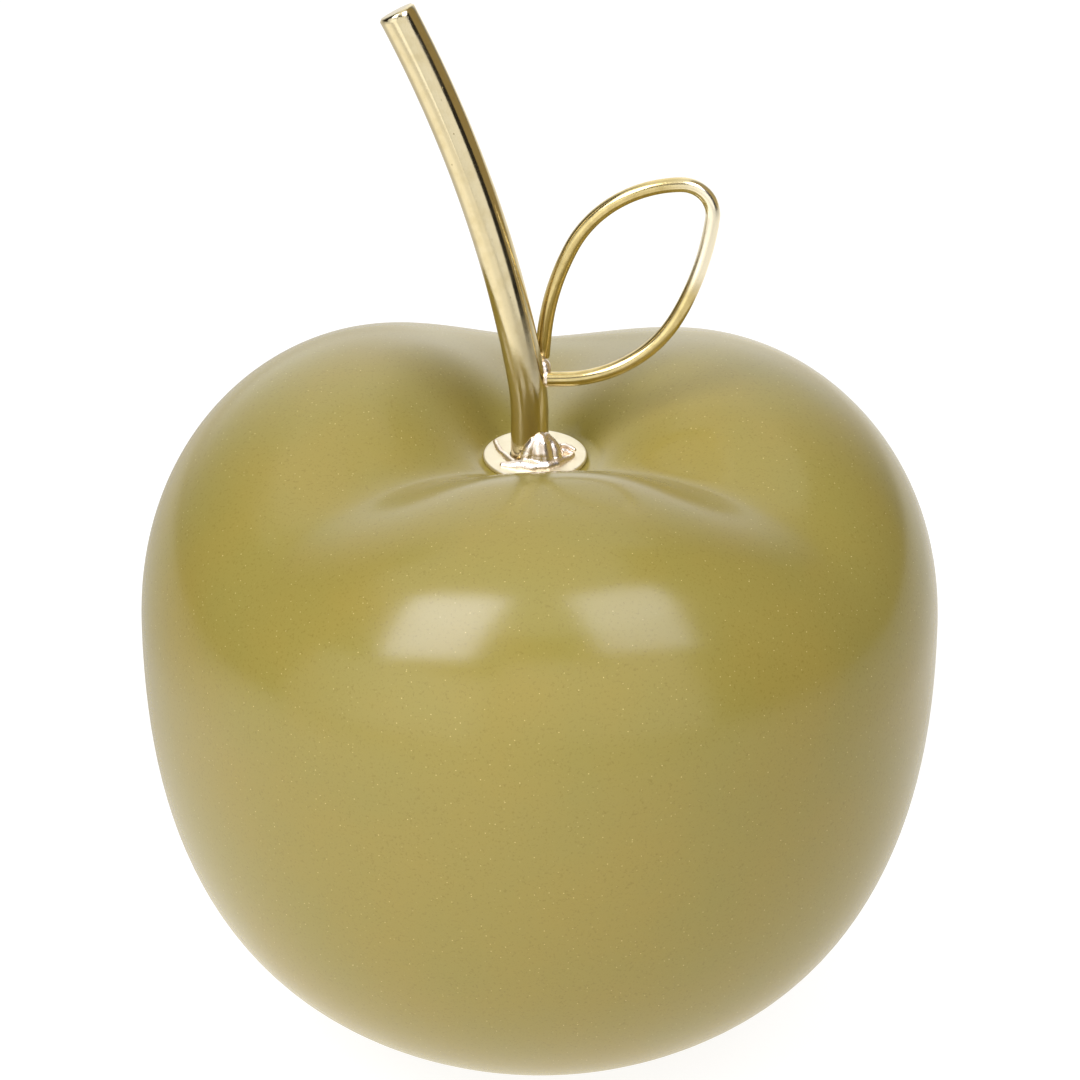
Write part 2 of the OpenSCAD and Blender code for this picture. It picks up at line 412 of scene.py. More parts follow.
@dataclass(frozen=True)
class OliveGlaze:
    """Semi-gloss olive stoneware glaze, sprayed and fired over slip-cast clay.

    A fired glaze is clear glass over a coloured ground, so it mirrors softly and stays even,
    with cloudy shifts of a few centimetres, a fine dark grain and sparse specks of gold mica.
    """

    ground: str = "A69547"
    warm: str = "A89546"
    green: str = "A49548"
    grain: str = "7E6B2A"
    mica: str = "F0DC8C"
    clay: str = "B9A88A"
    roughness: float = 0.2
    clay_roughness: float = 0.85
    ior: float = 1.5
    cloud_mm: float = 16.0
    grain_mm: float = 0.35
    grain_share: float = 0.38
    mica_cell_mm: float = 0.62
    mica_mm: float = 0.19
    mica_rarity: float = 0.6
    ripple_mm: float = 0.9
    ripple_depth_mm: float = 0.05
    ripple_strength: float = 0.17
    foot_line_mm: tuple[float, float] = (2.0, 2.3)

    def material(self) -> bpy.types.Material:
        """Builds the glaze.

        Returns:
            The material.
        """
        made, shader, place = begin_material("stoneware_glaze_olive")
        tree = made.node_tree
        cloud = add_node(tree, "TexNoise", inputs=pattern(place, self.cloud_mm, Detail=3.0, Roughness=0.55))
        body = add_ramp(tree, cloud, [(0.34, self.green), (0.5, self.ground), (0.66, self.warm)])
        grain = add_node(tree, "TexNoise", inputs=pattern(place, self.grain_mm, Detail=2.0, Roughness=0.6))
        grain_mask = add_node(tree, "MapRange", inputs=ranged(grain, 0.56, 0.72, 0.0, self.grain_share))
        grained = add_node(tree, "Mix", RGBA, {"Factor": grain_mask, "A": body, "B": linear(self.grain)})
        mica = add_node(tree, "TexVoronoi", inputs=pattern(place, self.mica_cell_mm))
        half = self.mica_mm / 2 / self.mica_cell_mm
        mica_spot = add_node(tree, "MapRange", inputs=ranged(mica, half, half * 0.5))
        chance = add_node(tree, "SeparateColor", inputs={"Color": mica.outputs["Color"]})
        mica_rare = add_node(tree, "MapRange", inputs=ranged(chance, self.mica_rarity, 1.0))
        mica_mask = add_node(tree, "Math", MULTIPLY, {0: mica_spot, 1: mica_rare})
        flecked = add_node(tree, "Mix", RGBA, {"Factor": mica_mask, "A": grained, "B": linear(self.mica)})
        height = add_node(tree, "SeparateXYZ", inputs={"Vector": place}).outputs["Z"]
        bottom, top = (level * MM for level in self.foot_line_mm)
        bare = add_node(tree, "MapRange", inputs=ranged(height, top, bottom))
        colour = add_node(tree, "Mix", RGBA, {"Factor": bare, "A": flecked, "B": linear(self.clay)})
        gloss = add_node(
            tree, "MapRange", inputs=ranged(cloud, 0.3, 0.7, self.roughness - 0.02, self.roughness + 0.03))
        rough = add_node(tree, "Mix", inputs={"Factor": bare, "A": gloss, "B": self.clay_roughness})
        ripple = add_node(tree, "TexNoise", inputs=pattern(place, self.ripple_mm, Detail=1.0))
        relief = add_node(tree, "Math", {"operation": "MULTIPLY_ADD"}, {0: ripple, 1: 0.35, 2: grain})
        bump = add_node(tree, "Bump", inputs={
            "Strength": self.ripple_strength, "Distance": self.ripple_depth_mm * MM, "Height": relief})
        feed(shader, {"Base Color": colour, "Roughness": rough, "Normal": bump, "IOR": self.ior})
        return made


@dataclass(frozen=True)
class GiltPlating:
    """Pale gold plating over cast or drawn steel.

    Plating keeps what the metal under it had, so it mirrors with small pits and a gritty grain
    where the casting was rough, and runs smooth where it was drawn or polished.
    """

    name: str
    colour: str
    tarnish: str
    roughness: float
    pit: str = "8A7440"
    tarnish_mm: float = 2.5
    tarnish_share: float = 0.35
    pit_cell_mm: float = 1.9
    pit_share: float = 0.055
    pit_depth_mm: float = 0.02
    wave_mm: float = 4.0
    wave_depth_mm: float = 0.012
    grit_mm: float = 0.22
    grit_depth_mm: float = 0.004
    # A pale patch that fades out round one point is a painted reflection of a lamp: its colour, its middle
    # and its size
    painted_glint: str = "FFF6DC"
    glint_at_mm: tuple[float, float, float] = (0.0, 0.0, 0.0)
    glint_mm: float = 1.0
    spatter_mm: tuple[float, float] = (0.0, 1.0)
    spatter_gain: float = 1.0

    def material(self) -> bpy.types.Material:
        """Builds the plating.

        Returns:
            The material.
        """
        made, shader, place = begin_material(self.name)
        tree = made.node_tree
        stain = add_node(
            tree, "TexNoise", inputs=pattern(place, self.tarnish_mm, Detail=4.0, Roughness=0.6))
        stained = add_node(tree, "MapRange", inputs=ranged(stain, 0.45, 0.75, 0.0, self.tarnish_share))
        base = add_node(
            tree, "Mix", RGBA, {"Factor": stained, "A": linear(self.colour), "B": linear(self.tarnish)})
        # Painted reflection of a lamp: a pale patch mixed into the colour round one point
        apart = add_node(
            tree, "VectorMath", {"operation": "DISTANCE"}, {0: place, 1: [v * MM for v in self.glint_at_mm]})
        glint_mask = add_node(
            tree, "MapRange", SMOOTH, ranged(apart, self.glint_mm * 0.5 * MM, self.glint_mm * MM, 1.0, 0.0))
        painted_glint = add_node(tree, "Mix", RGBA, {"Factor": glint_mask, "A": base, "B": linear(self.painted_glint)})
        pit = add_node(tree, "TexVoronoi", inputs=pattern(place, self.pit_cell_mm))
        pitted = add_node(tree, "MapRange", inputs=ranged(pit, self.pit_share, self.pit_share * 0.4))
        colour = add_node(tree, "Mix", RGBA, {"Factor": pitted, "A": painted_glint, "B": linear(self.pit)})
        wave = add_node(tree, "TexNoise", inputs=pattern(place, self.wave_mm, Detail=1.0))
        grit = add_node(tree, "TexNoise", inputs=pattern(place, self.grit_mm, Detail=2.0))
        height = add_node(tree, "SeparateXYZ", inputs={"Vector": place}).outputs["Z"]
        low, high = (level * MM for level in self.spatter_mm)
        spatter = add_node(tree, "MapRange", SMOOTH, ranged(height, low, high, self.spatter_gain, 1.0))
        gritty = add_node(tree, "Math", MULTIPLY, {0: grit, 1: spatter})
        waved = add_node(tree, "Bump", inputs={
            "Strength": 1.0, "Distance": self.wave_depth_mm * MM, "Height": wave})
        gritted = add_node(tree, "Bump", inputs={
            "Strength": 1.0, "Distance": self.grit_depth_mm * MM, "Height": gritty, "Normal": waved})
        dented = add_node(tree, "Bump", {"invert": True}, {
            "Strength": 1.0, "Distance": self.pit_depth_mm * MM, "Height": pitted, "Normal": gritted})
        rough = add_node(
            tree, "MapRange", inputs=ranged(stain, 0.35, 0.75, self.roughness, self.roughness + 0.1))
        feed(shader, {"Base Color": colour, "Roughness": rough, "Normal": dented, "Metallic": 1.0})
        return made


@dataclass(frozen=True)
class MattStuff:
    """A matt, two-toned stuff whose pattern is also its relief."""

    name: str
    colour: str
    second: str
    stops: tuple[float, float]
    pattern_mm: float
    detail: float
    distortion: float
    rough: float
    relief: float
    relief_mm: float
    grain: float = 0.5
    sheen: float = 0.0

    def material(self) -> bpy.types.Material:
        """Builds the stuff.

        Returns:
            The material.
        """
        made, shader, place = begin_material(self.name)
        tree = made.node_tree
        figure = add_node(tree, "TexNoise", inputs=pattern(
            place, self.pattern_mm, Detail=self.detail, Roughness=self.grain, Distortion=self.distortion))
        colour = add_ramp(tree, figure, [(self.stops[0], self.colour), (self.stops[1], self.second)])
        bump = add_node(tree, "Bump", inputs={
            "Strength": self.relief, "Distance": self.relief_mm * MM, "Height": figure})
        feed(shader, {
            "Base Color": colour, "Normal": bump, "Roughness": self.rough, "Sheen Weight": self.sheen})
        return made


# Pressed wool felt, die cut. Loose fibres give it a matt, slightly hairy face.
WOOL_FELT = MattStuff(
    "pressed_wool_felt", "33352F", "4A4C44", (0.35, 0.7), 0.25, 4.0, 1.5, 0.95, 0.8, 0.12,
    grain=0.7, sheen=0.3)
# Two-part epoxy putty, kneaded and pressed in by hand, set matt with faint marbling.
EPOXY_PUTTY = MattStuff(
    "epoxy_putty_set", "938F86", "7C776D", (0.4, 0.6), 3.0, 3.0, 2.0, 0.7, 0.5, 0.1)


# The fruit

Point = tuple[float, float]


def mix(first: float, second: float, share: float) -> float:
    """A value between two others."""
    return first + (second - first) * share


def curve_point(pulls: Sequence[Point], share: float) -> Point:
    """A point on the curve through the first and last point that the middle two pull.

    Args:
        pulls: The four points.
        share: How far along the curve it lies, from 0 to 1.

    Returns:
        The point.
    """
    rest = 1 - share
    weights = (rest ** 3, 3 * share * rest ** 2, 3 * share ** 2 * rest, share ** 3)
    return (sum(w * p[0] for w, p in zip(weights, pulls)), sum(w * p[1] for w, p in zip(weights, pulls)))


def curve_inset(pulls: Sequence[Point], share: float, thickness: float) -> Point:
    """A curve's point moved inwards by a thickness, where the curve runs outwards and down.

    Args:
        pulls: The curve's four points.
        share: How far along the curve.
        thickness: How far in.

    Returns:
        The moved point.
    """
    at = curve_point(pulls, share)
    rest = 1 - share
    run = [rest ** 2 * (pulls[1][i] - pulls[0][i]) + 2 * share * rest * (pulls[2][i] - pulls[1][i])
           + share ** 2 * (pulls[3][i] - pulls[2][i]) for i in (0, 1)]
    length = math.hypot(*run)
    return at[0] + thickness * run[1] / length, at[1] - thickness * run[0] / length


@dataclass
class FruitBody:
    """The hollow slip-cast fruit: dimple, lobes and grooves, belly, foot ring, bore and lining.

    Lengths are in millimetres and angles in degrees. Each pull is how far an inner point of a
    curve stands along its tangent, as a share of the curve's run, and a pair of them is for a
    lobe and for a groove. Each groove is its direction, its share of groove_dip and its width.
    """

    fruit_r: float = 53.0
    belly_z: float = 59.9
    belly_h: float = 58.4
    shoulder_h: float = 32.9
    shoulder_r: float = 24.4
    seat_r: float = 7.7
    seat_h: float = 23.3
    hole_r: float = 4.7
    groove_dip: float = 8.6
    lobe_slope: float = 50.0
    groove_slope: float = 15.5
    left_rise: float = 0.8
    wall_t: float = 4.5
    foot_r: float = 20.0
    recess_r: float = 12.0
    recess_d: float = 2.0
    foot_slope: float = 18.0
    foot_round: float = 0.5
    edge_round: float = 0.05
    hole_round: float = 0.3
    wall_pull: tuple[float, float] = (0.33, 0.26)
    crest_pull: float = 0.41
    shoulder_pull: tuple[float, float] = (0.545, 0.57)
    belly_pull: tuple[float, float] = (0.65, 0.7)
    under_pull: float = 0.565
    foot_pull: float = 0.712
    grooves: tuple[tuple[float, float, float], ...] = ((90, 1.12, 33), (217, 0.82, 30), (329.3, 0.76, 25.5))
    groove_power: float = 1.6
    spun_angle: float = 270.0
    turns: int = 240
    recess_rings: int = 8
    skin_rings: tuple[int, int, int] = (26, 40, 34)
    lining_rings: tuple[int, int, int] = (4, 6, 5)
    waviness: float = 0.05
    wave_length: float = 22.0
    even_foot: float = 1.0
    even_seat: float = 0.6

    def groove(self, angle: float) -> float:
        """How deep the grooves are in a direction.

        Args:
            angle: Direction round the fruit in degrees.

        Returns:
            The depth as a share of groove_dip.
        """
        total = 0.0
        for middle, depth, width in self.grooves:
            apart = abs((angle - middle + 540) % 360 - 180)
            total += depth * math.exp(-((apart / width) ** self.groove_power))
        return total

    def sides(self, angle: float) -> list[list[Point]]:
        """The three curves of the outline in a direction: dimple, shoulder and underside.

        Args:
            angle: Direction round the fruit in degrees.

        Returns:
            The four points of each curve.
        """
        deep = self.groove(angle)
        crest = self.shoulder_h - self.groove_dip * deep - self.left_rise * math.cos(math.radians(angle))
        slope = math.radians(mix(self.lobe_slope, self.groove_slope, deep))
        span = self.shoulder_r - self.seat_r
        pull = span * mix(*self.wall_pull, deep)
        out = self.fruit_r - self.shoulder_r
        under = math.radians(self.foot_slope)
        reach = (self.fruit_r - self.foot_r) * self.foot_pull
        return [
            [(self.seat_r, self.seat_h),
             (self.seat_r + pull * math.cos(slope), self.seat_h + pull * math.sin(slope)),
             (self.shoulder_r - span * self.crest_pull, crest), (self.shoulder_r, crest)],
            [(self.shoulder_r, crest), (self.shoulder_r + out * mix(*self.shoulder_pull, deep), crest),
             (self.fruit_r, crest * mix(*self.belly_pull, deep)), (self.fruit_r, 0.0)],
            [(self.fruit_r, 0.0), (self.fruit_r, -self.belly_h * self.under_pull),
             (self.foot_r + reach * math.cos(under), reach * math.sin(under) - self.belly_h),
             (self.foot_r, -self.belly_h)],
        ]

    def side(self, angle: float, rings: Sequence[int], thickness: float) -> list[Point]:
        """The outline in a direction from the seat to the foot, set in by a thickness.

        Args:
            angle: Direction round the fruit in degrees.
            rings: How many rings each of the three curves gets.
            thickness: How far it is set in.

        Returns:
            The outline's points.
        """
        return [curve_inset(pulls, i / count, thickness)
                for k, (pulls, count) in enumerate(zip(self.sides(angle), rings))
                for i in range(0 if k == 0 else 1, count + 1)]

    def outline(self, angle: float) -> list[Vector]:
        """The wall's section in a direction, from the middle of the recess to the lining's floor.

        Args:
            angle: Direction round the fruit in degrees.

        Returns:
            Points with the radius in X and the height in Z, in metres.
        """
        bowl_r = (self.recess_r ** 2 + self.recess_d ** 2) / (2 * self.recess_d)
        ground = -self.belly_h
        rim = self.recess_r - self.foot_round
        radii = [rim * i / self.recess_rings for i in range(self.recess_rings + 1)]
        recess = [(r, ground + self.recess_d - bowl_r + math.sqrt(bowl_r ** 2 - r ** 2)) for r in radii]
        ring = [(self.recess_r, ground + self.edge_round), (self.recess_r + self.foot_round, ground),
                ((self.recess_r + self.foot_r) / 2, ground), (self.foot_r - self.foot_round, ground)]
        skin = list(reversed(self.side(angle, self.skin_rings, 0.0)))
        skin[0] = (self.foot_r, ground + self.edge_round)
        bore = [(self.hole_r + self.hole_round, self.seat_h), (self.hole_r, self.seat_h - self.hole_round),
                (self.hole_r, self.seat_h - self.wall_t)]
        lining = self.side(angle, self.lining_rings, self.wall_t)
        inside = self.wall_t + self.recess_d - self.belly_h
        floor = [(self.recess_r, inside), (0.0, inside)]
        path = recess + ring + skin + bore + lining + floor
        return [Vector((r * MM, 0.0, (z + self.belly_z) * MM)) for r, z in path]

    def build(self) -> Piece:
        """Spins the section into the fruit and presses the grooves in.

        Returns:
            The finished mesh object.
        """
        start = self.outline(self.spun_angle)
        piece = open_point(start[0])
        for here, there in zip(start, start[1:]):
            bpy.ops.mesh.extrude_vertices_move(TRANSFORM_OT_translate={"value": there - here})
        pick_all()
        bpy.ops.mesh.spin(steps=self.turns, angle=math.tau, center=(0, 0, 0), axis=UP)
        close_edit()
        close_skin(piece)
        self.press_grooves(piece, start)
        return settle(piece, "fruit_body", 50.0)

    def press_grooves(self, piece: Piece, start: Sequence[Vector]) -> None:
        """Moves every ring of the spun form to its height in each direction.

        Args:
            piece: The spun fruit.
            start: The section that was spun.
        """
        finder = KDTree(len(start))
        for index, point in enumerate(start):
            finder.insert(point, index)
        finder.balance()
        sections: dict[int, list[Vector]] = {}
        for vert in piece.data.vertices:
            radius = math.hypot(vert.co.x, vert.co.y)
            index = finder.find(Vector((radius, 0.0, vert.co.z)))[1]
            turn = round(math.atan2(vert.co.y, vert.co.x) / math.tau * self.turns) % self.turns
            if turn not in sections:
                sections[turn] = self.outline(turn * 360 / self.turns)
            at = sections[turn][index]
            angle = turn * math.tau / self.turns
            vert.co = Vector((at.x * math.cos(angle), at.x * math.sin(angle), at.z))
        piece.data.update()
        skin_z = (self.belly_z - self.belly_h + self.even_foot) * MM
        top_r = (self.seat_r + self.even_seat) * MM

        def slump(place: Vector, normal: Vector) -> Vector:
            """A cast wall is never quite even: it dips a little here and there.

            Args:
                place: A point of the wall.
                normal: Its direction outwards.

            Returns:
                How far the point moves.
            """
            radius = math.hypot(place.x, place.y)
            if place.z < skin_z or radius < top_r:
                return Vector()
            return normal * min(0.0, -self.waviness * MM * (0.5 + uneven(place, self.wave_length)))

        move_points(piece, slump)


# Bent bars


@dataclass(frozen=True)
class Place:
    """A place on a bar: its point, the side that it bends towards, and its heading."""

    point: Vector
    side: Vector
    heading: Vector

    def ahead(self, length: float) -> "Place":
        """The place further on along a straight."""
        return Place(self.point + length * self.heading, self.side, self.heading)

    def bent(self, radius: float, angle: float) -> "Place":
        """The place further on round a bend.

        Args:
            radius: The bend's radius.
            angle: How far it bends, in degrees.

        Returns:
            The place at its end.
        """
        turn = math.radians(angle)
        cosine, sine = math.cos(turn), math.sin(turn)
        return Place(
            self.point + radius * ((1 - cosine) * self.side + sine * self.heading),
            cosine * self.side - sine * self.heading,
            sine * self.side + cosine * self.heading)

    def rolled(self, angle: float) -> "Place":
        """The same place, turned about its heading.

        Args:
            angle: The roll in degrees.

        Returns:
            The turned place.
        """
        turn = math.radians(angle)
        side = math.cos(turn) * self.side + math.sin(turn) * self.heading.cross(self.side)
        return Place(self.point, side, self.heading)


@dataclass(frozen=True)
class Step:
    """One step along a bar, and the roll after it.

    Without an angle it is a straight of a length. With one, it is a bend whose radius is the
    length. Angles are in degrees.
    """

    length: float
    angle: float = 0.0
    roll: float = 0.0


def follow(here: Place, steps: Sequence[Step]) -> Place:
    """The place that is reached by steps.

    Args:
        here: The place that they start from.
        steps: The steps, in order.

    Returns:
        The place after the last.
    """
    for step in steps:
        here = here.ahead(step.length) if step.angle == 0 else here.bent(step.length, step.angle)
        here = here.rolled(step.roll)
    return here


@dataclass
class BentBar:
    """A round bar that is bent cold, from a disc that is drawn out and spun. In metres."""

    start: Place
    steps: list[Step]
    radius: float
    sides: int
    ring_gap: float

    def build(self) -> Piece:
        """Draws a round face out along the steps.

        Returns:
            The bar, closed at both ends.
        """
        turn = Matrix((self.start.side, self.start.heading.cross(self.start.side), self.start.heading))
        piece = open_disc(self.start.point, self.radius, self.sides, turn.transposed().to_euler())
        here = self.start
        for step in self.steps:
            self.draw(here, step)
            here = follow(here, [step])
        close_edit()
        close_skin(piece, 0.001 * MM)
        return piece

    def draw(self, here: Place, step: Step) -> None:
        """Draws the selected face along one step.

        Args:
            here: The place of the face.
            step: The step.
        """
        if step.angle == 0:
            count = max(1, round(step.length / self.ring_gap))
            for _ in range(count):
                draw_out(here.heading * (step.length / count))
            return
        arc = step.length * math.radians(step.angle)
        bpy.ops.mesh.spin(
            steps=max(3, round(arc / self.ring_gap)), angle=-math.radians(step.angle),
            center=here.point + step.length * here.side, axis=here.heading.cross(here.side))


# Stem, leaf and pads


@dataclass(frozen=True)
class Tablet:
    """An upright round tablet: the middle of its underside, its radius and its height, in metres."""

    middle: Vector
    radius: float
    height: float
    sides: int

    def begin(self, rings: Sequence[float]) -> Piece:
        """Starts the tablet's mesh.

        Args:
            rings: The widths of the rings on both faces, from the rim inwards.

        Returns:
            The mesh object, open in edit mode with both faces inside the rings selected.
        """
        piece = open_disc(self.middle, self.radius, self.sides)
        draw_out(UP * self.height)
        pick_all()
        bpy.ops.mesh.normals_make_consistent(inside=False)
        pick(piece, Element.FACES, lambda middle, normal: abs(normal.z) > 0.9)
        for ring in rings:
            bpy.ops.mesh.inset(thickness=ring)
        return piece

    def round_rims(self, piece: Piece, by: float, segments: int) -> None:
        """Rounds both rims of the open mesh.

        Args:
            piece: The tablet.
            by: The rounding's size.
            segments: How many faces it has across.
        """

        def on_rim(middle: Vector, normal: Vector) -> bool:
            """Whether an edge lies on a rim.

            Args:
                middle: The edge's middle.
                normal: Its direction, which plays no part.

            Returns:
                True on a rim.
            """
            at = middle - self.middle
            off = min(abs(at.z), abs(at.z - self.height))
            return max(abs(at.xy.length - self.radius), off) < 0.02 * MM

        pick(piece, Element.EDGES, on_rim)
        bpy.ops.mesh.bevel(offset=by, segments=segments, profile=0.5)


@dataclass
class GiltStem:
    """The stem: rod, disc and the weld between them.

    Lengths are in millimetres and angles in degrees, as in the part. A bend is its radius and
    its angle. The dents are their mean depth, and what long and short waves add to it.
    """

    disc_z: float = 83.8
    disc_t: float = 0.6
    disc_r: float = 6.8
    disc_x: float = -0.6
    stem_x: float = -1.3
    stem_r: float = 2.5
    shank: float = 10.0
    straight: float = 5.6
    lower_bend: tuple[float, float] = (30.0, 11.2)
    upper_bend: tuple[float, float] = (138.0, 21.4)
    lean: float = 150.0
    bevel: float = 0.3
    even_end: float = 2.0
    dents: tuple[float, float, float] = (0.015, 0.014, 0.0015)
    rod_sides: int = 64
    rod_ring_gap: float = 0.6
    cut_rings: tuple[float, float] = (0.25, 0.6)
    disc_sides: int = 128
    rim_ring: float = 2.0
    rim_round: float = 0.2
    hole_gap: float = 0.1
    ball_gap: float = 0.3

    def start(self) -> Place:
        """The rod's bottom end, under the seat.

        Returns:
            The place there.
        """
        lean = math.radians(self.lean)
        return Place(
            Vector((self.stem_x, 0, self.disc_z - self.disc_t - self.shank)) * MM,
            Vector((math.cos(lean), math.sin(lean), 0)), UP)

    def place(self, length: float) -> Place:
        """The place on the rod at a length above the disc, in its upper bend.

        Args:
            length: The length in millimetres.

        Returns:
            The place there.
        """
        foot = self.start().ahead((self.shank + self.disc_t + self.straight) * MM)
        past = length - self.straight - self.lower_bend[0] * math.radians(self.lower_bend[1])
        bend = foot.bent(self.lower_bend[0] * MM, self.lower_bend[1])
        return bend.bent(self.upper_bend[0] * MM, math.degrees(past / self.upper_bend[0]))

    def rod(self) -> Piece:
        """Builds the rod with its cut end.

        Returns:
            The rod.
        """
        steps = [
            Step((self.shank + self.disc_t + self.straight) * MM),
            Step(self.lower_bend[0] * MM, self.lower_bend[1]),
            Step(self.upper_bend[0] * MM, self.upper_bend[1]),
        ]
        bar = BentBar(self.start(), steps, self.stem_r * MM, self.rod_sides, self.rod_ring_gap * MM)
        piece = bar.build()
        end = follow(self.start(), steps)
        open_edit(piece, Element.FACES)
        pick(piece, Element.FACES, lambda middle, normal: (middle - end.point).length < 0.1 * MM)
        draw_out(end.heading * self.bevel * MM)
        share = 1 - self.bevel / self.stem_r
        bpy.ops.transform.resize(value=(share, share, share))
        for ring in self.cut_rings:
            bpy.ops.mesh.inset(thickness=ring * MM)
        close_edit()
        tip = end.point + end.heading * self.bevel * MM

        def hand_bent(place: Vector, normal: Vector) -> Vector:
            """A hand-bent rod undulates a little and is flattened here and there.

            Args:
                place: A point of the rod.
                normal: Its direction outwards.

            Returns:
                How far the point moves.
            """
            from_tip = place - tip
            if from_tip.length < self.even_end * MM and abs(from_tip.dot(end.heading)) < 0.05 * MM:
                return Vector()
            slow = noise.noise(Vector((place.x / 9, place.y / 9, place.z / 14)) / MM)
            quick = uneven(place, 3.2, (7, 3, 1))
            mean, long, short = self.dents
            return normal * min(0.0, -mean + long * slow + short * quick) * MM

        move_points(piece, hand_bent)
        return settle(piece, "stem_bar", 50.0)

    def disc(self) -> Piece:
        """Builds the disc with its rolled rim and its hole.

        Returns:
            The disc.
        """
        bottom = Vector((self.disc_x, 0, self.disc_z - self.disc_t)) * MM
        tablet = Tablet(bottom, self.disc_r * MM, self.disc_t * MM, self.disc_sides)
        inner_ring = self.disc_r - self.rim_ring - self.stem_r - self.hole_gap
        piece = tablet.begin((self.rim_ring * MM, inner_ring * MM))
        bpy.ops.transform.translate(value=((self.stem_x - self.disc_x) * MM, 0, 0))
        bpy.ops.mesh.bridge_edge_loops()
        tablet.round_rims(piece, self.rim_round * MM, 4)
        close_edit()
        return settle(piece, "seat_disc", 35.0)

    def weld(self, centre: Vector) -> Piece:
        """Builds the weld bead at the rod's foot, with its drip across the disc.

        Args:
            centre: The rod's centre on top of the disc.

        Returns:
            The bead.
        """
        # Each run of molten metal, as balls with their right, back, up and radius in
        # millimetres from the rod's foot: three folds, the skirt, the fin and the drip
        runs = [
            [(-0.15, -2.7, 0.0, 1.1), (-0.15, -2.65, 1.2, 1.05), (0.1, -2.5, 2.2, 0.95),
             (0.6, -2.3, 3.1, 0.8)],
            [(1.5, -2.7, 0.0, 1.8), (1.5, -2.55, 1.4, 1.55), (1.4, -2.3, 2.5, 1.3), (1.3, -2.0, 3.4, 0.95)],
            [(3.1, -1.9, 0.0, 1.4), (3.0, -1.75, 1.3, 1.2), (2.6, -1.55, 2.3, 1.0), (2.0, -1.5, 3.2, 0.8)],
            [(-3.5, -3.3, 0.0, 0.5), (-2.4, -3.5, 0.0, 0.7), (-0.7, -3.6, 0.05, 1.05), (0.7, -4.0, 0.05, 1.0),
             (2.1, -3.7, 0.05, 1.0), (3.4, -2.9, 0.05, 0.9), (4.3, -2.1, 0.05, 0.7), (5.2, -1.3, 0.0, 0.45),
             (5.6, -0.5, 0.0, 0.4), (4.9, 0.2, 0.0, 0.5), (3.9, 0.3, 0.05, 0.8), (2.9, 1.2, 0.05, 0.75),
             (1.5, 2.2, 0.05, 0.6)],
            [(3.6, -0.9, 0.0, 1.0), (3.6, -0.7, 1.1, 0.5), (3.9, -0.1, 1.35, 0.36), (4.6, 0.0, 1.3, 0.33),
             (5.2, -0.2, 1.1, 0.32), (5.85, -0.35, 0.75, 0.3)],
            [(3.9, 0.0, 0.5, 0.5), (4.7, 0.0, 0.5, 0.45), (5.5, -0.3, 0.35, 0.4)],
            [(-4.5, 3.25, 0.0, 0.42), (-4.35, 2.3, 0.0, 0.4), (-4.1, 1.3, 0.0, 0.45), (-3.85, 0.5, 0.0, 0.42),
             (-3.35, -0.3, 0.0, 0.5), (-2.95, -1.1, 0.0, 0.52), (-2.5, -1.9, 0.0, 0.62),
             (-1.9, -2.9, 0.0, 0.75)],
        ]
        parts = []
        for run in runs:
            for first, last in zip(run, run[1:]):
                steps = max(2, round(math.dist(first[:3], last[:3]) / (self.ball_gap * last[3])))
                for i in range(steps + 1):
                    x, y, z, radius = (mix(here, there, i / steps) for here, there in zip(first, last))
                    parts.append(ball(centre + Vector((x, y, z)) * MM, radius * MM))
        return weld_together(parts, "weld_bead", self.disc_z * MM)


def ball(at: Vector, radius: float) -> Piece:
    """One ball of molten metal.

    Args:
        at: Its middle.
        radius: Its radius.

    Returns:
        The ball.
    """
    deselect()
    bpy.ops.mesh.primitive_ico_sphere_add(subdivisions=3 if radius > MM else 2, radius=radius, location=at)
    return bpy.context.active_object


# The grid that balls of metal are melted on, and how high its folds and pearls stand, in
# millimetres
MELT_GRID = 0.1
FOLD_DEPTH = 0.06
PEARL_DEPTH = 0.015


def weld_together(parts: list[Piece], name: str, floor: float | None) -> Piece:
    """Melts balls into one bead.

    Args:
        parts: The balls, which are used up.
        name: The bead's name.
        floor: The height that the bead is cut flat at, or None.

    Returns:
        The bead.
    """
    deselect()
    for part in parts:
        part.select_set(True)
    piece = parts[0]
    bpy.context.view_layer.objects.active = piece
    bpy.ops.object.join()
    bake_place()
    apply_modifier(piece, "REMESH", mode="VOXEL", voxel_size=MELT_GRID * MM, use_smooth_shade=True)
    apply_modifier(piece, "SMOOTH", factor=0.5, iterations=6)

    def lumpy(place: Vector, normal: Vector) -> Vector:
        """Molten metal freezes in soft folds.

        Args:
            place: A point of the metal.
            normal: Its direction outwards.

        Returns:
            How far the point moves.
        """
        fold = uneven(place, 1.3, (4, 9, 2))
        pearl = uneven(place, 0.5, (1, 5, 8))
        return normal * (FOLD_DEPTH * fold + PEARL_DEPTH * pearl) * MM

    move_points(piece, lumpy)
    if floor is not None:
        open_edit(piece, Element.FACES)
        pick_all()
        bpy.ops.mesh.bisect(
            plane_co=UP * floor, plane_no=UP, use_fill=True, clear_inner=True, threshold=0.0001 * MM)
        close_edit()
    close_skin(piece, 0.0005 * MM)
    return settle(piece, name, 60.0)


